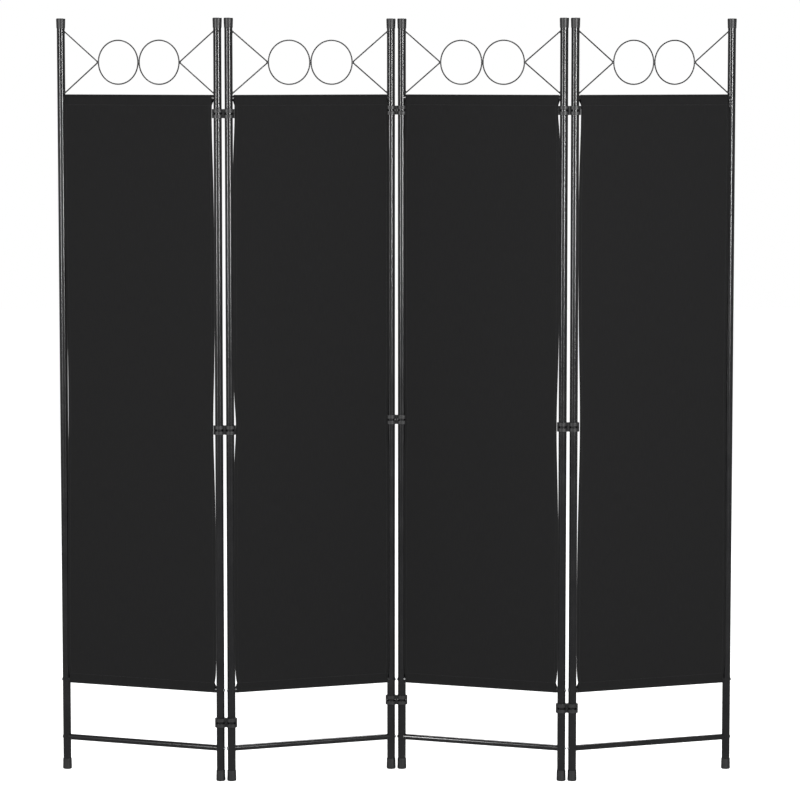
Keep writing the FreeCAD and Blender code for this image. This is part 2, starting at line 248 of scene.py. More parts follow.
def add_noise(material, place, size, detail=3.0):
    """A noise texture whose grains are about so many metres across."""
    noise = material.node_tree.nodes.new("ShaderNodeTexNoise")
    noise.inputs["Scale"].default_value = 1 / size
    noise.inputs["Detail"].default_value = detail
    material.node_tree.links.new(place, noise.inputs["Vector"])
    return noise.outputs["Fac"]


def spread(material, value, low, high, target, start=0.3, end=0.7):
    """Sends a texture to a socket as a range from low to high."""
    ranger = material.node_tree.nodes.new("ShaderNodeMapRange")
    ranger.inputs["From Min"].default_value = start
    ranger.inputs["From Max"].default_value = end
    ranger.inputs["To Min"].default_value = low
    ranger.inputs["To Max"].default_value = high
    material.node_tree.links.new(value, ranger.inputs["Value"])
    material.node_tree.links.new(ranger.outputs["Result"], target)


def tint(material, value, dark, light, target, start=0.3, end=0.7):
    """Sends a texture to a colour socket, from a dark grey to a lighter one."""
    ramp = material.node_tree.nodes.new("ShaderNodeValToRGB")
    ramp.color_ramp.elements[0].position = start
    ramp.color_ramp.elements[0].color = (*dark, 1)
    ramp.color_ramp.elements[1].position = end
    ramp.color_ramp.elements[1].color = (*light, 1)
    material.node_tree.links.new(value, ramp.inputs["Fac"])
    material.node_tree.links.new(ramp.outputs["Color"], target)


def emboss(material, shader, height, depth, strength):
    """Raises a texture by so many metres, as far as the light is concerned."""
    bump = material.node_tree.nodes.new("ShaderNodeBump")
    bump.inputs["Distance"].default_value = depth
    bump.inputs["Strength"].default_value = strength
    material.node_tree.links.new(height, bump.inputs["Height"])
    material.node_tree.links.new(bump.outputs["Normal"], shader.inputs["Normal"])


def object_place(material):
    return material.node_tree.nodes.new("ShaderNodeTexCoord").outputs["Object"]


# %% Powder coat, wire, plastic and zinc
COAT_SHADES = ((0.0065, 0.0065, 0.007), (0.0095, 0.0095, 0.01))
COAT_BLOTCH = 60 * MM
COAT_PEEL = 2.4 * MM
PEEL_DEPTH = 0.01 * MM
TUBE_ROUGHNESS = 0.16
WIRE_ROUGHNESS = 0.28
PLASTIC_SHADES = ((0.010, 0.010, 0.0105), (0.015, 0.015, 0.0155))
PLASTIC_CLOUD = 12 * MM
PLASTIC_GRAIN = 0.45 * MM
GRAIN_DEPTH = 0.04 * MM
ZINC_SHADES = ((0.52, 0.53, 0.54), (0.68, 0.69, 0.70))
ZINC_CLOUD = 1.5 * MM


def make_coat(name, roughness):
    """Gloss black powder coat with an orange peel."""
    material, shader = new_material(name, Specular_IOR_Level=0.5)
    place = object_place(material)
    blotch = add_noise(material, place, COAT_BLOTCH)
    peel = add_noise(material, place, COAT_PEEL, detail=1.0)
    tint(material, blotch, *COAT_SHADES, shader.inputs["Base Color"])
    spread(material, blotch, roughness, roughness + 0.06, shader.inputs["Roughness"])
    emboss(material, shader, peel, PEEL_DEPTH, 0.5)
    return material


def make_plastic(name):
    """Satin black plastic with the grain of a moulding tool."""
    material, shader = new_material(name, Specular_IOR_Level=0.5)
    place = object_place(material)
    cloud = add_noise(material, place, PLASTIC_CLOUD)
    grain = add_noise(material, place, PLASTIC_GRAIN, detail=2.0)
    tint(material, cloud, *PLASTIC_SHADES, shader.inputs["Base Color"])
    spread(material, grain, 0.36, 0.52, shader.inputs["Roughness"])
    emboss(material, shader, grain, GRAIN_DEPTH, 0.6)
    return material


def make_zinc(name):
    """Bright zinc plate, slightly clouded."""
    material, shader = new_material(name, Metallic=1.0)
    place = object_place(material)
    cloud = add_noise(material, place, ZINC_CLOUD)
    tint(material, cloud, *ZINC_SHADES, shader.inputs["Base Color"])
    spread(material, cloud, 0.22, 0.38, shader.inputs["Roughness"])
    return material


steel_coat = make_coat("gloss_black_powder_coat", TUBE_ROUGHNESS)
wire_coat = make_coat("black_wire_coat", WIRE_ROUGHNESS)
satin_plastic = make_plastic("satin_black_plastic")
bright_zinc = make_zinc("bright_zinc")
print("made", ", ".join(m.name for m in (steel_coat, wire_coat, satin_plastic, bright_zinc)))

# %% [markdown]
# ## Cloth and thread
#
# A plain weave is threads going over and under each other. Two sine waves
# multiplied give that alternating bump. It follows the cloth's own UV map,
# which holds the flat cloth's width and length in metres, so the threads
# keep their size and turn with the cloth where it goes round a rod. Sheen
# stands for the fuzz of fibres that catches light at a low angle.

# %% Cloth and thread finishes
THREAD_PITCH = 0.8 * MM
CLOTH_SHADES = ((0.0054, 0.0054, 0.0056), (0.0076, 0.0076, 0.0078))
SLUB_WIDTH = 1.4 * MM
SLUB_STRETCH = 0.06
WEAVE_DEPTH = 0.06 * MM
THREAD_SHADES = ((0.010, 0.010, 0.0105), (0.018, 0.018, 0.019))
THREAD_TWIST = 0.3 * MM
TWIST_DEPTH = 0.05 * MM


def wave_of(material, coordinate, pitch):
    """The sine of a coordinate, one full turn to every pitch."""
    turn = material.node_tree.nodes.new("ShaderNodeMath")
    turn.operation = "MULTIPLY"
    turn.inputs[1].default_value = 2 * math.pi / pitch
    sine = material.node_tree.nodes.new("ShaderNodeMath")
    sine.operation = "SINE"
    material.node_tree.links.new(coordinate, turn.inputs[0])
    material.node_tree.links.new(turn.outputs[0], sine.inputs[0])
    return sine.outputs[0]


def make_cloth_finish(name):
    material, shader = new_material(
        name, Roughness=0.9, Specular_IOR_Level=0.16, Sheen_Weight=0.05, Sheen_Roughness=0.4
    )
    tree = material.node_tree
    flat = tree.nodes.new("ShaderNodeUVMap")
    flat.uv_map = "flat_cloth"
    parts = tree.nodes.new("ShaderNodeSeparateXYZ")
    tree.links.new(flat.outputs["UV"], parts.inputs[0])
    weave = tree.nodes.new("ShaderNodeMath")
    weave.operation = "MULTIPLY"
    tree.links.new(wave_of(material, parts.outputs["X"], 2 * THREAD_PITCH), weave.inputs[0])
    tree.links.new(wave_of(material, parts.outputs["Y"], 2 * THREAD_PITCH), weave.inputs[1])

    slub = tree.nodes.new("ShaderNodeMapping")
    slub.inputs["Scale"].default_value = (1, SLUB_STRETCH, 1)
    tree.links.new(flat.outputs["UV"], slub.inputs["Vector"])
    streaks = add_noise(material, slub.outputs["Vector"], SLUB_WIDTH, detail=2.0)

    tint(material, streaks, *CLOTH_SHADES, shader.inputs["Base Color"])
    emboss(material, shader, weave.outputs[0], WEAVE_DEPTH, 0.5)
    return material


def make_thread_finish(name):
    material, shader = new_material(
        name, Roughness=0.6, Specular_IOR_Level=0.4, Sheen_Weight=0.1, Sheen_Roughness=0.4
    )
    place = object_place(material)
    twist = add_noise(material, place, THREAD_TWIST, detail=1.0)
    tint(material, twist, *THREAD_SHADES, shader.inputs["Base Color"])
    emboss(material, shader, twist, TWIST_DEPTH, 0.6)
    return material


cloth_finish = make_cloth_finish("black_woven_polyester")
thread_finish = make_thread_finish("black_sewing_thread")
print("weave of", THREAD_PITCH / MM, "mm threads")

# %% [markdown]
# ## Tools for pieces
#
# Every turned piece starts as half its outline. Spinning the outline about
# the upright axis gives the solid, and bevelling the rings at its corners
# takes off the sharp edges, which is what catches the light on a real part.
# The Weighted Normal modifier then shades the long faces as straight, and
# keeps the rounding in the bevels.

# %% Turning, placing and dressing
SPIN_STEPS = 48
SMALL_SPIN_STEPS = 24
WELD_DISTANCE = 0.001 * MM
FLAT_FACE_WEIGHT = 100


def ring_edges(bm, radius, height):
    """The edges of the ring at a given radius and height of a turned shape."""
    found = []
    for edge in bm.edges:
        on_ring = all(
            abs(vert.co.xy.length - radius) < WELD_DISTANCE and abs(vert.co.z - height) < WELD_DISTANCE
            for vert in edge.verts
        )
        if on_ring:
            found.append(edge)
    return found


def turn(outline, closed, steps=SPIN_STEPS):
    """Spins (radius, height, rounding) corners about Z and rounds the rings."""
    bm = bmesh.new()
    verts = [bm.verts.new((radius, 0, height)) for radius, height, _ in outline]
    ends = verts[1:] + verts[:1] if closed else verts[1:]
    edges = [bm.edges.new(pair) for pair in zip(verts, ends)]
    bmesh.ops.spin(
        bm, geom=verts + edges, cent=(0, 0, 0), axis=UP, angle=2 * math.pi, steps=steps, use_merge=True
    )
    bmesh.ops.remove_doubles(bm, verts=bm.verts, dist=WELD_DISTANCE)
    bmesh.ops.recalc_face_normals(bm, faces=bm.faces)
    for radius, height, rounding in outline:
        if rounding:
            bmesh.ops.bevel(
                bm,
                geom=ring_edges(bm, radius, height),
                offset=rounding,
                segments=4,
                profile=0.5,
                affect="EDGES",
                material=-1,
            )
    return bm


def add_copy(bm, source, place):
    """Adds a copy of a source mesh to a bmesh, moved by a matrix."""
    before = len(bm.verts)
    bm.from_mesh(source)
    bm.verts.ensure_lookup_table()
    bmesh.ops.transform(bm, matrix=place, verts=bm.verts[before:])


def to_mesh(bm, name):
    """Ends a bmesh as a mesh, shaded smooth."""
    for face in bm.faces:
        face.smooth = True
    mesh = bpy.data.meshes.new(name)
    bm.to_mesh(mesh)
    bm.free()
    return mesh


def shade_evenly(piece):
    """Keeps the long faces straight in the light, and the bevels round."""
    shading = piece.modifiers.new("even_shading", "WEIGHTED_NORMAL")
    shading.weight = FLAT_FACE_WEIGHT


def to_piece(bm, name, material, even=True):
    """Ends a bmesh as an object with a finish."""
    mesh = to_mesh(bm, name)
    mesh.materials.append(material)
    piece = bpy.data.objects.new(name, mesh)
    scene.collection.objects.link(piece)
    if even:
        shade_evenly(piece)
    return piece


def settle(piece, body, slot, *nodes):
    """Rides a finished piece on its panel's body and hides the frame parts it replaces."""
    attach(piece, body)
    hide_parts(*nodes)


def stand_in(mesh):
    """A passing object, there only to run a modifier on a mesh."""
    thing = bpy.data.objects.new("passing", mesh)
    scene.collection.objects.link(thing)
    return thing


def with_modifiers(thing):
    """The mesh a passing object has once its modifiers have run."""
    depsgraph = bpy.context.evaluated_depsgraph_get()
    mesh = bpy.data.meshes.new_from_object(thing.evaluated_get(depsgraph))
    bpy.data.objects.remove(thing)
    return mesh


def carve(mesh, cutter):
    """Cuts one mesh out of another."""
    body, tool = stand_in(mesh), stand_in(cutter)
    cut = body.modifiers.new("cut", "BOOLEAN")
    cut.operation = "DIFFERENCE"
    cut.solver = "EXACT"
    cut.object = tool
    result = with_modifiers(body)
    bpy.data.objects.remove(tool)
    return result


# %% [markdown]
# ## Posts
#
# A post is three lengths of 18 mm tube. The upper end of each is plain, and
# the lower end of the next is squeezed down to a spigot that plugs into it.
# A tube is thin, so the outline runs up the outside and back down the bore.
# The rims are rounded, and two rims that meet leave the fine dark line that
# is seen round a post at each joint. Screw holes are cut with a Boolean.
# Extra rings above and below a hole keep its odd-shaped faces in a narrow
# band under the screw head, so that the long faces stay clean.

# %% Post lengths
TUBE_RADIUS = 9 * MM
TUBE_WALL = 0.6 * MM
SPIGOT_PLAY = 0.05 * MM
SWAGE_HEIGHT = 4 * MM
RIM_ROUNDING = 0.22 * MM
HOLE_RADIUS = 2.15 * MM
HOLE_BAND = 5 * MM

rail_low, rail_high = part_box("panel_1_foot_rail")
rods_low, rods_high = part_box("panel_1_cloth_rods")
RAIL_RADIUS = (rail_high.z - rail_low.z) / 2
RAIL_HEIGHT = (rail_high.z + rail_low.z) / 2
LOW_ROD = rods_low.z + RAIL_RADIUS
HIGH_ROD = rods_high.z - RAIL_RADIUS
SCREW_HEIGHTS = {"bottom": (RAIL_HEIGHT, LOW_ROD), "middle": (), "top": ()}


def drill(mesh, heights):
    """Cuts a screw hole right through a post at each height."""
    for height in heights:
        drill_bit = bmesh.new()
        sideways = Matrix.Translation((0, 0, height)) @ Matrix.Rotation(math.pi / 2, 4, "Y")
        bmesh.ops.create_cone(
            drill_bit,
            cap_ends=True,
            segments=SMALL_SPIN_STEPS,
            radius1=HOLE_RADIUS,
            radius2=HOLE_RADIUS,
            depth=4 * TUBE_RADIUS,
            matrix=sideways,
        )
        mesh = carve(mesh, to_mesh(drill_bit, "drill_bit"))
    return mesh


def post_length(part, foot, shoulder, top):
    """The mesh of one tube: foot is its lowest point, the spigot's end if any."""
    bore = TUBE_RADIUS - TUBE_WALL
    outline = [
        (TUBE_RADIUS, shoulder, RIM_ROUNDING),
        (TUBE_RADIUS, top, RIM_ROUNDING),
        (bore, top, 0),
    ]
    if foot < shoulder:
        spigot = bore - SPIGOT_PLAY
        outline += [
            (bore, shoulder + SWAGE_HEIGHT, 0),
            (spigot - TUBE_WALL, shoulder, 0),
            (spigot - TUBE_WALL, foot, 0),
            (spigot, foot, 0),
            (spigot, shoulder, 0),
        ]
    else:
        outline.append((bore, shoulder, 0))
    bm = turn(outline, closed=True)
    for height in SCREW_HEIGHTS[part]:
        for edge_of_band in (height - HOLE_BAND, height + HOLE_BAND):
            everything = bm.verts[:] + bm.edges[:] + bm.faces[:]
            bmesh.ops.bisect_plane(bm, geom=everything, plane_co=(0, 0, edge_of_band), plane_no=UP)
    return drill(to_mesh(bm, f"{part}_tube"), SCREW_HEIGHTS[part])


post_meshes = {}
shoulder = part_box("panel_1_left_post_bottom")[0].z
for part in SCREW_HEIGHTS:
    low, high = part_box(f"panel_1_left_post_{part}")
    post_meshes[part] = post_length(part, low.z, shoulder, high.z)
    print(part, "tube from", round(shoulder / MM), "to", round(high.z / MM), "mm")
    shoulder = high.z

# %% Posts in place
for panel in PANELS:
    for side, sign in SIDES.items():
        for part, mesh in post_meshes.items():
            bm = bmesh.new()
            add_copy(bm, mesh, panel_place(panel) @ Matrix.Translation((sign * HALF_PITCH, 0, 0)))
            piece = to_piece(bm, f"panel_{panel}_{side}_{part}_tube", steel_coat)
            settle(piece, f"panel_{panel}", "gloss_black_steel", f"panel_{panel}_{side}_post_{part}")

# %% [markdown]
# ## Caps and feet
#
# A soft plastic cap closes each post at the top. It widens a little towards
# its crown, and the crown's edge is well rounded. A foot is the same idea
# the other way up, with a thicker sole. Both are turned from half an
# outline that goes over the outside and back up the inside.

# %% Caps and feet
CAP_HEIGHT = 22 * MM
CAP_CROWN = 2.5 * MM
CAP_MOUTH_RADIUS = 9.7 * MM
CAP_CROWN_RADIUS = 10.4 * MM
CAP_ROUNDING = 2.2 * MM
FOOT_HEIGHT = 24 * MM
FOOT_SOLE = 3 * MM
FOOT_MOUTH_RADIUS = 9.9 * MM
FOOT_SOLE_RADIUS = 10.4 * MM
FOOT_ROUNDING = 2.8 * MM
MOUTH_ROUNDING = 0.35 * MM
POST_TOP = cad_high.z


def cap_mesh():
    bm = turn(
        [
            (0, POST_TOP, 0),
            (CAP_CROWN_RADIUS, POST_TOP, CAP_ROUNDING),
            (CAP_MOUTH_RADIUS, POST_TOP - CAP_HEIGHT, MOUTH_ROUNDING),
            (TUBE_RADIUS, POST_TOP - CAP_HEIGHT, 0),
            (TUBE_RADIUS, POST_TOP - CAP_CROWN, 0),
            (0, POST_TOP - CAP_CROWN, 0),
        ],
        closed=False,
    )
    return to_mesh(bm, "cap")


def foot_mesh():
    bm = turn(
        [
            (0, 0, 0),
            (FOOT_SOLE_RADIUS, 0, FOOT_ROUNDING),
            (FOOT_MOUTH_RADIUS, FOOT_HEIGHT, MOUTH_ROUNDING),
            (TUBE_RADIUS, FOOT_HEIGHT, 0),
            (TUBE_RADIUS, FOOT_SOLE, 0),
            (0, FOOT_SOLE, 0),
        ],
        closed=False,
    )
    return to_mesh(bm, "foot")


for kind, mesh in {"top_caps": cap_mesh(), "foot_caps": foot_mesh()}.items():
    for panel in PANELS:
        bm = bmesh.new()
        for sign in SIDES.values():
            add_copy(bm, mesh, panel_place(panel) @ Matrix.Translation((sign * HALF_PITCH, 0, 0)))
        piece = to_piece(bm, f"panel_{panel}_moulded_{kind}", satin_plastic)
        settle(piece, f"panel_{panel}", "black_plastic", f"panel_{panel}_{kind}")
    print("four pairs of", kind)

# %% [markdown]
# ## Screws
#
# Pan-head screws go through the posts into the ends of the foot rail and
# of the lower rod. The upper rod has none: it is welded, like the ornament
# above it. The head is turned, and a cross recess is cut in it. One good
# screw is made, and copies of it are put wherever the frame has one.

# %% Screws
HEAD_RADIUS = 3.5 * MM
HEAD_HEIGHT = 1.6 * MM
HEAD_ROUNDING = 0.9 * MM
SHANK_RADIUS = 2 * MM
SHANK_LENGTH = 30 * MM
SHANK_ROUNDING = 0.3 * MM
RECESS_REACH = 1.7 * MM
RECESS_WIDTH = 0.8 * MM
RECESS_DEPTH = 0.9 * MM
TO_PLUS_X = Matrix.Rotation(math.pi / 2, 4, "Y")


def screw_mesh():
    """A screw along Z, its head up and the head's underside at zero."""
    bm = turn(
        [
            (0, HEAD_HEIGHT, 0),
            (HEAD_RADIUS, HEAD_HEIGHT, HEAD_ROUNDING),
            (HEAD_RADIUS, 0, 0),
            (SHANK_RADIUS, 0, 0),
            (SHANK_RADIUS, -SHANK_LENGTH, SHANK_ROUNDING),
            (0, -SHANK_LENGTH, 0),
        ],
        closed=False,
        steps=SMALL_SPIN_STEPS,
    )
    mesh = to_mesh(bm, "screw")
    for angle in (0, math.pi / 2):
        blade = bmesh.new()
        size = Matrix.Diagonal((2 * RECESS_REACH, RECESS_WIDTH, 2 * RECESS_DEPTH, 1))
        place = Matrix.Translation((0, 0, HEAD_HEIGHT)) @ Matrix.Rotation(angle, 4, "Z") @ size
        bmesh.ops.create_cube(blade, size=1, matrix=place)
        mesh = carve(mesh, to_mesh(blade, "blade"))
    return mesh


screw = screw_mesh()
for panel in PANELS:
    bm = bmesh.new()
    for sign in SIDES.values():
        outwards = Matrix.Rotation(0 if sign > 0 else math.pi, 4, "Z") @ TO_PLUS_X
        for height in SCREW_HEIGHTS["bottom"]:
            face = Matrix.Translation((sign * (HALF_PITCH + TUBE_RADIUS), 0, height))
            add_copy(bm, screw, panel_place(panel) @ face @ outwards)
    piece = to_piece(bm, f"panel_{panel}_pan_head_screws", bright_zinc)
    settle(piece, f"panel_{panel}", "zinc_screws", f"panel_{panel}_screws")
print("four screws to a panel, with", len(screw.polygons), "faces each")

# %% [markdown]
# ## Rails, rods, rings and struts
#
# These are plain tube and wire, and the frame's shapes are already right:
# the tubes' ends are cut to sit on the round posts. They stay as they are
# and only get their finish. What the frame leaves out is the welds. A bead
# sits where the two rings touch, where each strut meets its ring, and where
# the strut's ends meet the post.

# %% Carried-over steel
for panel in PANELS:
    for part in ("foot_rail", "cloth_rods"):
        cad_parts[f"panel_{panel}_{part}"].material_slots[0].material = steel_coat
    for part in ("rings", "struts"):
        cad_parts[f"panel_{panel}_{part}"].material_slots[0].material = wire_coat

# %% Weld beads
rings_low, rings_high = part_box("panel_1_rings")
ORNAMENT_HEIGHT = (rings_low.z + rings_high.z) / 2
RING_OUTSIDE = rings_high.z - ORNAMENT_HEIGHT
STRUT_END = 66.4 * MM
POST_FACE = HALF_PITCH - TUBE_RADIUS
POST_BEAD = (1.9 * MM, 2.5 * MM, 2.9 * MM)
BEAD_LUMPS = 0.06
BEADS = {
    "between_rings": {"x": 0, "z": 0, "size": (1.5 * MM, 1.35 * MM, 5.0 * MM)},
    "at_ring": {"x": 2 * RING_OUTSIDE, "z": 0, "size": (2.0 * MM, 1.7 * MM, 3.2 * MM)},
    "post_above": {"x": POST_FACE, "z": STRUT_END, "size": POST_BEAD},
    "post_below": {"x": POST_FACE, "z": -STRUT_END, "size": POST_BEAD},
}


def add_bead(bm, x, z, size):
    """A squashed ball of weld metal, a little lumpy."""
    ball = bmesh.ops.create_icosphere(bm, subdivisions=3, radius=1)["verts"]
    for vert in ball:
        vert.co *= 1 + BEAD_LUMPS * math.sin(5 * vert.co.z + 9 * vert.co.y + 70 * x)
    bmesh.ops.scale(bm, vec=size, verts=ball)
    bmesh.ops.translate(bm, vec=(x, 0, ORNAMENT_HEIGHT + z), verts=ball)


for panel in PANELS:
    bm = bmesh.new()
    for bead in BEADS.values():
        for sign in SIDES.values() if bead["x"] else (1,):
            add_bead(bm, sign * bead["x"], bead["z"], bead["size"])
    bmesh.ops.transform(bm, matrix=panel_place(panel), verts=bm.verts)
    piece = to_piece(bm, f"panel_{panel}_weld_beads", wire_coat, even=False)
    settle(piece, f"panel_{panel}", "black_wire")
print("beads at", len(BEADS), "kinds of joint")

# %% [markdown]
# ## Clips
#
# A clip is two collars side by side, joined by a web, with a window through
# each collar at mid-height, so that it looks like two bands. Half of the
# section is drawn: an arc that is nearly a full circle for the outside, and
# a circle for the bore. Bridging the two loops fills the wall, a mirror
# adds the other collar, and an extrusion gives the height. Boxes cut the
# windows, and a Bevel modifier rounds every edge as a mould would.

# %% Clips
COLLAR_RADIUS = 12.5 * MM
FOLD_SPACING = 24.5 * MM
BORE_RADIUS = 9.06 * MM
HALF_WEB = 5 * MM
CLIP_HEIGHT = 20 * MM
WINDOW_HEIGHT = 5 * MM
WINDOW_PLAY = 0.4 * MM
CLIP_ROUNDING = 0.8 * MM
ROUNDED_CORNER = math.radians(35)
MIDDLE_CLIPS = {"left": 790 * MM, "middle": 800 * MM, "right": 797 * MM}
ARC_STEPS = 44


def clip_section():
    """Half of the clip's outline, its right collar, filled flat."""
    bm = bmesh.new()
    web_angle = math.asin(HALF_WEB / COLLAR_RADIUS)
    neck = FOLD_SPACING / 2 - COLLAR_RADIUS * math.cos(web_angle)
    start = bm.verts.new((neck, -HALF_WEB, 0))
    arc = bmesh.ops.spin(
        bm,
        geom=[start],
        cent=(FOLD_SPACING / 2, 0, 0),
        axis=UP,
        angle=2 * math.pi - 2 * web_angle,
        steps=ARC_STEPS,
    )
    end = [item for item in arc["geom_last"] if isinstance(item, bmesh.types.BMVert)][0]
    front = bm.verts.new((0, -HALF_WEB, 0))
    back = bm.verts.new((0, HALF_WEB, 0))
    for pair in ((end, back), (back, front), (front, start)):
        bm.edges.new(pair)
    bore_place = Matrix.Translation((FOLD_SPACING / 2, 0, 0)) @ Matrix.Rotation(math.pi, 4, "Z")
    bmesh.ops.create_circle(bm, segments=SPIN_STEPS, radius=BORE_RADIUS, matrix=bore_place)
    bmesh.ops.bridge_loops(bm, edges=bm.edges)
    return bm


def clip_mesh():
    """A clip about its own middle, with its windows cut."""
    bm = clip_section()
    everything = bm.verts[:] + bm.edges[:] + bm.faces[:]
    bmesh.ops.mirror(bm, geom=everything, axis="X", merge_dist=WELD_DISTANCE)
    raised = bmesh.ops.extrude_face_region(bm, geom=bm.faces[:])["geom"]
    risen = [item for item in raised if isinstance(item, bmesh.types.BMVert)]
    bmesh.ops.translate(bm, vec=(0, 0, CLIP_HEIGHT), verts=risen)
    bmesh.ops.translate(bm, vec=(0, 0, -CLIP_HEIGHT / 2), verts=bm.verts)
    bmesh.ops.recalc_face_normals(bm, faces=bm.faces)
    mesh = to_mesh(bm, "clip")
    for sign in SIDES.values():
        window = bmesh.new()
        size = Matrix.Diagonal((2 * BORE_RADIUS + WINDOW_PLAY, 4 * COLLAR_RADIUS, WINDOW_HEIGHT, 1))
        place = Matrix.Translation((sign * FOLD_SPACING / 2, 0, 0)) @ size
        bmesh.ops.create_cube(window, size=1, matrix=place)
        mesh = carve(mesh, to_mesh(window, "window"))
    return mesh


clip = clip_mesh()
for line, middle_height in MIDDLE_CLIPS.items():
    low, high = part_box(f"{line}_fold_clips")
    middle = (low + high) / 2
    bm = bmesh.new()
    for height in (low.z + CLIP_HEIGHT / 2, middle_height, high.z - CLIP_HEIGHT / 2):
        add_copy(bm, clip, Matrix.Translation((middle.x, middle.y, height)))
    piece = to_piece(bm, f"{line}_moulded_clips", satin_plastic, even=False)
    rounding = piece.modifiers.new("rounding", "BEVEL")
    rounding.width = CLIP_ROUNDING
    rounding.segments = 3
    rounding.limit_method = "ANGLE"
    rounding.angle_limit = ROUNDED_CORNER
    shade_evenly(piece)
    settle(piece, f"{line}_clips", "black_plastic", f"{line}_fold_clips")
print("three clips to a fold, with", len(clip.polygons), "faces each before rounding")

# %% [markdown]
# ## The cloths
#
# Each cloth is one length of polyester. Its two sides are turned in and
# sewn, and its two ends are taken round the rods and sewn down as pockets.
# So it is made that way. The line of the cloth, seen from the side, starts
# at one loose end, goes round the lower rod, up the front, round the upper
# rod and down to the other loose end. Spinning a point about a rod makes
# the round part. Sweeping the line sideways gives the sheet, and the side
# edges are extruded three times to fold each hem back on itself. Solidify
# gives the cloth its thickness at the end.

# %% The cloth's line
CLOTH_THICKNESS = 0.3 * MM
LAYER = 0.35 * MM
WRAP_RADIUS = RAIL_RADIUS + 0.55 * MM
SEAM_DROP = 16 * MM
FLAP = 7 * MM
POCKET_HALF_WIDTH = 179.7 * MM
HEM_WIDTH = 9 * MM
ROD_STEPS = 18
COLUMNS = 60
ROWS = 150
FLAP_PLANE = 3 * LAYER - WRAP_RADIUS
LOW_SEAM = LOW_ROD + SEAM_DROP
HIGH_SEAM = HIGH_ROD - SEAM_DROP


def wrap_angle():
    """How far the cloth goes round a rod before it leaves for its seam."""
    reach = math.hypot(FLAP_PLANE, SEAM_DROP)
    leaves_at = math.atan2(-SEAM_DROP, FLAP_PLANE) + math.acos(WRAP_RADIUS / reach)
    return math.pi - leaves_at


def draw_line(bm):
    """The cloth seen from the side, as a chain of points in order."""
    leave = math.pi - wrap_angle()
    back = WRAP_RADIUS * math.cos(leave)
    below = WRAP_RADIUS * math.sin(leave)
    chain = [
        bm.verts.new((0, FLAP_PLANE, LOW_SEAM + FLAP)),
        bm.verts.new((0, FLAP_PLANE, LOW_SEAM)),
        bm.verts.new((0, back, LOW_ROD - below)),
    ]
    for rod, next_height in ((LOW_ROD, HIGH_ROD), (HIGH_ROD, None)):
        for _ in range(ROD_STEPS):
            step = bmesh.ops.spin(
                bm,
                geom=[chain[-1]],
                cent=(0, 0, rod),
                axis=(1, 0, 0),
                angle=-wrap_angle() / ROD_STEPS,
                steps=1,
            )
            chain += [item for item in step["geom_last"] if isinstance(item, bmesh.types.BMVert)]
        if next_height:
            rise = (next_height - rod) / ROWS
            for row in range(1, ROWS + 1):
                chain.append(bm.verts.new((0, -WRAP_RADIUS, rod + row * rise)))
    chain.append(bm.verts.new((0, FLAP_PLANE, HIGH_SEAM)))
    chain.append(bm.verts.new((0, FLAP_PLANE, HIGH_SEAM - FLAP)))
    return chain


print("the cloth goes", round(math.degrees(wrap_angle())), "degrees round each rod")

# %% Fold the sheet
BULGE = 0.2 * MM


def sweep_sheet(bm):
    """Sweeps the line across, and keeps the flat cloth's measures on it."""
    across = bm.verts.layers.float.new("across")
    along = bm.verts.layers.float.new("along")
    chain = draw_line(bm)
    for vert, following in zip(chain, chain[1:]):
        following[along] = vert[along] + (following.co - vert.co).length
    edges = [bm.edges.get(pair) or bm.edges.new(pair) for pair in zip(chain, chain[1:])]
    bmesh.ops.translate(bm, vec=(-POCKET_HALF_WIDTH, 0, 0), verts=chain)
    width = 2 * POCKET_HALF_WIDTH
    bmesh.ops.spin(
        bm,
        geom=chain + edges,
        cent=(0, 0, 0),
        axis=(1, 0, 0),
        dvec=(width / COLUMNS, 0, 0),
        angle=0,
        steps=COLUMNS,
    )
    for vert in bm.verts:
        vert[across] = vert.co.x
    return across, along


def inward_sign(bm):
    """1 if the faces' normals point at the rods, and -1 if away from them."""
    bm.normal_update()
    front = min(bm.faces, key=lambda face: face.calc_center_median().y)
    return 1 if front.normal.y > 0 else -1


def turn_in_hem(bm, sign, across, inward):
    """Folds the cloth's edge on one side round and back behind the sheet."""
    edge_x = sign * POCKET_HALF_WIDTH
    rim = [edge for edge in bm.edges if all(abs(vert.co.x - edge_x) < WELD_DISTANCE for vert in edge.verts)]
    inner = {vert: inward * vert.normal.copy() for edge in rim for vert in edge.verts}
    for outwards, depth in ((BULGE, LAYER / 2), (-BULGE, LAYER / 2), (-HEM_WIDTH, 0)):
        made = bmesh.ops.extrude_edge_only(bm, edges=rim)["geom"]
        fresh = [item for item in made if isinstance(item, bmesh.types.BMVert)]
        moved = {}
        for vert in fresh:
            old = [edge.other_vert(vert) for edge in vert.link_edges if edge.other_vert(vert) in inner][0]
            vert.co = old.co + inner[old] * depth + Vector((sign * outwards, 0, 0))
            vert[across] = old[across] + sign * math.hypot(outwards, depth)
            moved[vert] = inner[old]
        made_edges = [item for item in made if isinstance(item, bmesh.types.BMEdge)]
        rim = [edge for edge in made_edges if all(vert in moved for vert in edge.verts)]
        inner = moved


def lay_flat_map(bm, across, along):
    """A UV map that holds each point's place on the flat cloth, in metres."""
    flat = bm.loops.layers.uv.new("flat_cloth")
    for face in bm.faces:
        for loop in face.loops:
            loop[flat].uv = (loop.vert[across], loop.vert[along])
    bm.verts.layers.float.remove(bm.verts.layers.float["across"])
    bm.verts.layers.float.remove(bm.verts.layers.float["along"])


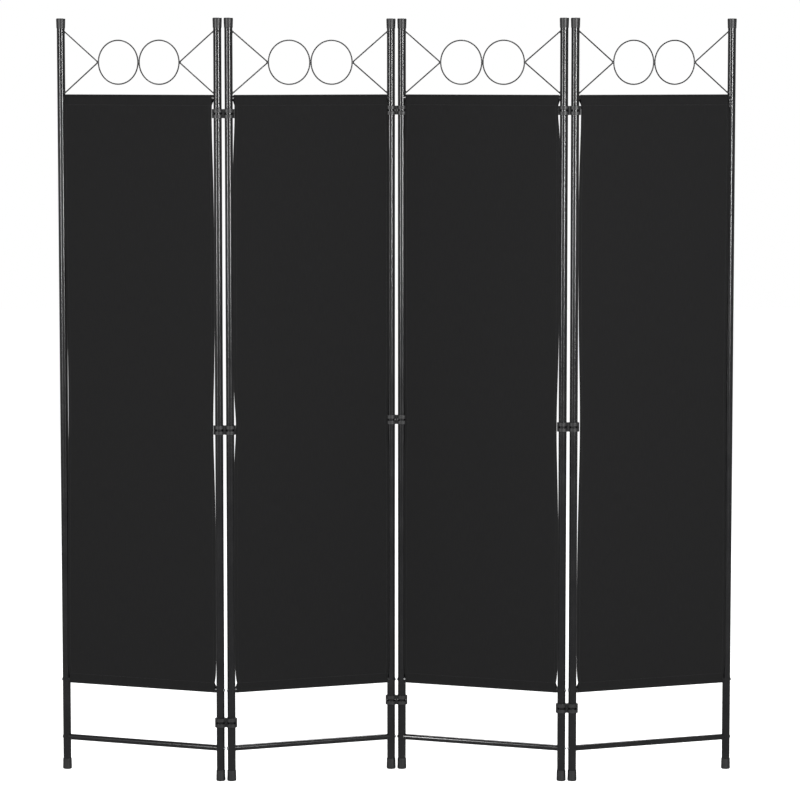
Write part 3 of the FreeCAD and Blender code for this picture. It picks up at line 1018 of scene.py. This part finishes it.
# %% [markdown]
# ## How the cloth hangs
#
# The pockets stop a little short of the posts, so that they clear the upper
# clips. Between its rods the cloth is wider, and its edges lie against the
# posts. The clips' collars are thicker than the posts and push the edge
# inwards, which opens a thin slit beside the post above and below each
# clip. The outermost edges have no clip, and there the tight cloth draws in
# by itself. It also puckers below the ends of the pockets, and a few wide
# soft waves run down it. One formula moves any point of the flat sheet to
# where it hangs, so the stitches can use it too.

# %% Hanging
WIDEN = 4.3 * MM
EASE = 14 * MM
UPPER_CLIP = 1494 * MM
MIDDLE_CLIP = 797 * MM
WAIST = 860 * MM
SLITS = {
    (1, "left"): [(WAIST, 7.5 * MM, 330 * MM)],
    (1, "right"): [(UPPER_CLIP, 4.4 * MM, 140 * MM), (MIDDLE_CLIP, 4.2 * MM, 120 * MM)],
    (2, "left"): [(UPPER_CLIP, 4.3 * MM, 80 * MM), (MIDDLE_CLIP, 4.3 * MM, 55 * MM)],
    (2, "right"): [(UPPER_CLIP, 4.2 * MM, 60 * MM), (MIDDLE_CLIP, 4.2 * MM, 60 * MM)],
    (3, "left"): [(UPPER_CLIP, 4.2 * MM, 60 * MM), (MIDDLE_CLIP, 4.2 * MM, 60 * MM)],
    (3, "right"): [(UPPER_CLIP, 4.2 * MM, 40 * MM), (MIDDLE_CLIP, 4.8 * MM, 140 * MM)],
    (4, "left"): [(UPPER_CLIP, 4.2 * MM, 110 * MM), (MIDDLE_CLIP, 5.2 * MM, 190 * MM)],
    (4, "right"): [(WAIST, 3.5 * MM, 330 * MM)],
}
WAVE_DEPTH = 0.6 * MM
WAVE_LENGTH = 150 * MM
WAVE_LEAN = 2.2
WAVE_CHANGE = 1.7
PUCKER_DEPTH = 0.6 * MM
PUCKER_LENGTH = 34 * MM
PUCKER_REACH = 70 * MM
PUCKER_SLANT = 0.8


def hang(point, panel):
    """Where a point of the flat cloth is once the panel hangs."""
    drop = min(point.z - LOW_SEAM, HIGH_SEAM - point.z)
    if drop <= 0:
        return point
    ease = 1 - math.exp(-drop / EASE)
    share = point.x / POCKET_HALF_WIDTH
    side = "right" if share > 0 else "left"
    drawn = sum(
        depth * math.exp(-(((point.z - height) / reach) ** 2))
        for height, depth, reach in SLITS[panel, side]
    )
    sideways = WIDEN * share - drawn * share ** 3
    turn_of_wave = 2 * math.pi * point.x / WAVE_LENGTH + WAVE_CHANGE * panel + WAVE_LEAN * point.z
    wave = math.sin(turn_of_wave)
    forwards = WAVE_DEPTH * (1 - share ** 4) * (1 + wave) / 2
    slanted = abs(point.x) + PUCKER_SLANT * drop
    pucker = (1 + math.sin(2 * math.pi * slanted / PUCKER_LENGTH + panel)) / 2
    forwards += PUCKER_DEPTH * abs(share) ** 3 * math.exp(-drop / PUCKER_REACH) * pucker
    return Vector((point.x + sideways * ease, point.y - forwards * ease * ease, point.z))


def hang_all(bm, panel):
    for vert in bm.verts:
        vert.co = hang(vert.co, panel)


# %% Make the sheets
def make_sheet(panel):
    bm = bmesh.new()
    across, along = sweep_sheet(bm)
    inward = inward_sign(bm)
    for sign in SIDES.values():
        turn_in_hem(bm, sign, across, inward)
    length = max(vert[along] for vert in bm.verts)
    lay_flat_map(bm, across, along)
    hang_all(bm, panel)
    bmesh.ops.transform(bm, matrix=panel_place(panel), verts=bm.verts)
    sheet = to_piece(bm, f"panel_{panel}_hung_cloth", cloth_finish, even=False)
    thickness = sheet.modifiers.new("thickness", "SOLIDIFY")
    thickness.thickness = CLOTH_THICKNESS
    thickness.offset = 0
    settle(sheet, f"panel_{panel}", "black_cloth", f"panel_{panel}_cloth")
    return sheet, length


# %% [markdown]
# ## Stitches
#
# Lock stitches are short straight threads, all alike, so one is made from a
# small ball pulled long, and an Array modifier repeats it at an even pitch.
# Each seam shows on both faces of the cloth. The rows follow the hems on
# both sides and close the two pockets. A row is made straight, and the
# hanging formula then moves it with the cloth.

# %% Sew
STITCH_PITCH = 3.4 * MM
STITCH_LENGTH = 2.7 * MM
THREAD_RADIUS = 0.2 * MM
HEM_SEAM = 6.5 * MM
FRONT_FACE = -WRAP_RADIUS - CLOTH_THICKNESS / 2
HEM_BACK = -WRAP_RADIUS + LAYER + CLOTH_THICKNESS / 2
FLAP_BACK = FLAP_PLANE + CLOTH_THICKNESS / 2


def make_stitch():
    """One stitch, lying along Z."""
    bm = bmesh.new()
    bmesh.ops.create_uvsphere(bm, u_segments=6, v_segments=4, radius=1)
    bmesh.ops.scale(bm, vec=(THREAD_RADIUS, THREAD_RADIUS, STITCH_LENGTH / 2), verts=bm.verts)
    return to_mesh(bm, "stitch")


def sew_row(bm, stitch, start, end):
    """A straight row of stitches from one point to another."""
    start, end = Vector(start), Vector(end)
    run = end - start
    row = stand_in(stitch)
    repeat = row.modifiers.new("repeat", "ARRAY")
    count = 1 + int(run.length / STITCH_PITCH)
    repeat.count = count
    repeat.use_relative_offset = False
    repeat.use_constant_offset = True
    repeat.constant_offset_displace = (0, 0, run.length / (count - 1))
    towards = run.to_track_quat("Z", "Y").to_matrix().to_4x4()
    add_copy(bm, with_modifiers(row), Matrix.Translation(start) @ towards)
    return count


def make_stitches(panel):
    bm = bmesh.new()
    count = 0
    for face in (FRONT_FACE, HEM_BACK):
        for sign in SIDES.values():
            x = sign * (POCKET_HALF_WIDTH - HEM_SEAM)
            start = (x, face, LOW_SEAM + STITCH_PITCH)
            end = (x, face, HIGH_SEAM - STITCH_PITCH)
            count += sew_row(bm, stitch, start, end)
    reach = POCKET_HALF_WIDTH - 2 * MM
    for face in (FRONT_FACE, FLAP_BACK):
        for seam in (LOW_SEAM, HIGH_SEAM):
            count += sew_row(bm, stitch, (-reach, face, seam), (reach, face, seam))
    hang_all(bm, panel)
    bmesh.ops.transform(bm, matrix=panel_place(panel), verts=bm.verts)
    stitches = to_piece(bm, f"panel_{panel}_stitches", thread_finish, even=False)
    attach(stitches, f"panel_{panel}")
    return stitches, count


stitch = make_stitch()
for panel in PANELS:
    sheet, length = make_sheet(panel)
    stitches, count = make_stitches(panel)

# %% [markdown]
# ## Measure the finished size
# #
# # Nothing here may change the screen's size, so the finished model's box is
# # measured and printed, as the frame's was at the start.

# %% Sizes
low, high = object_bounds()
print("the finished screen is", [round(side, 3) for side in high - low], "m")
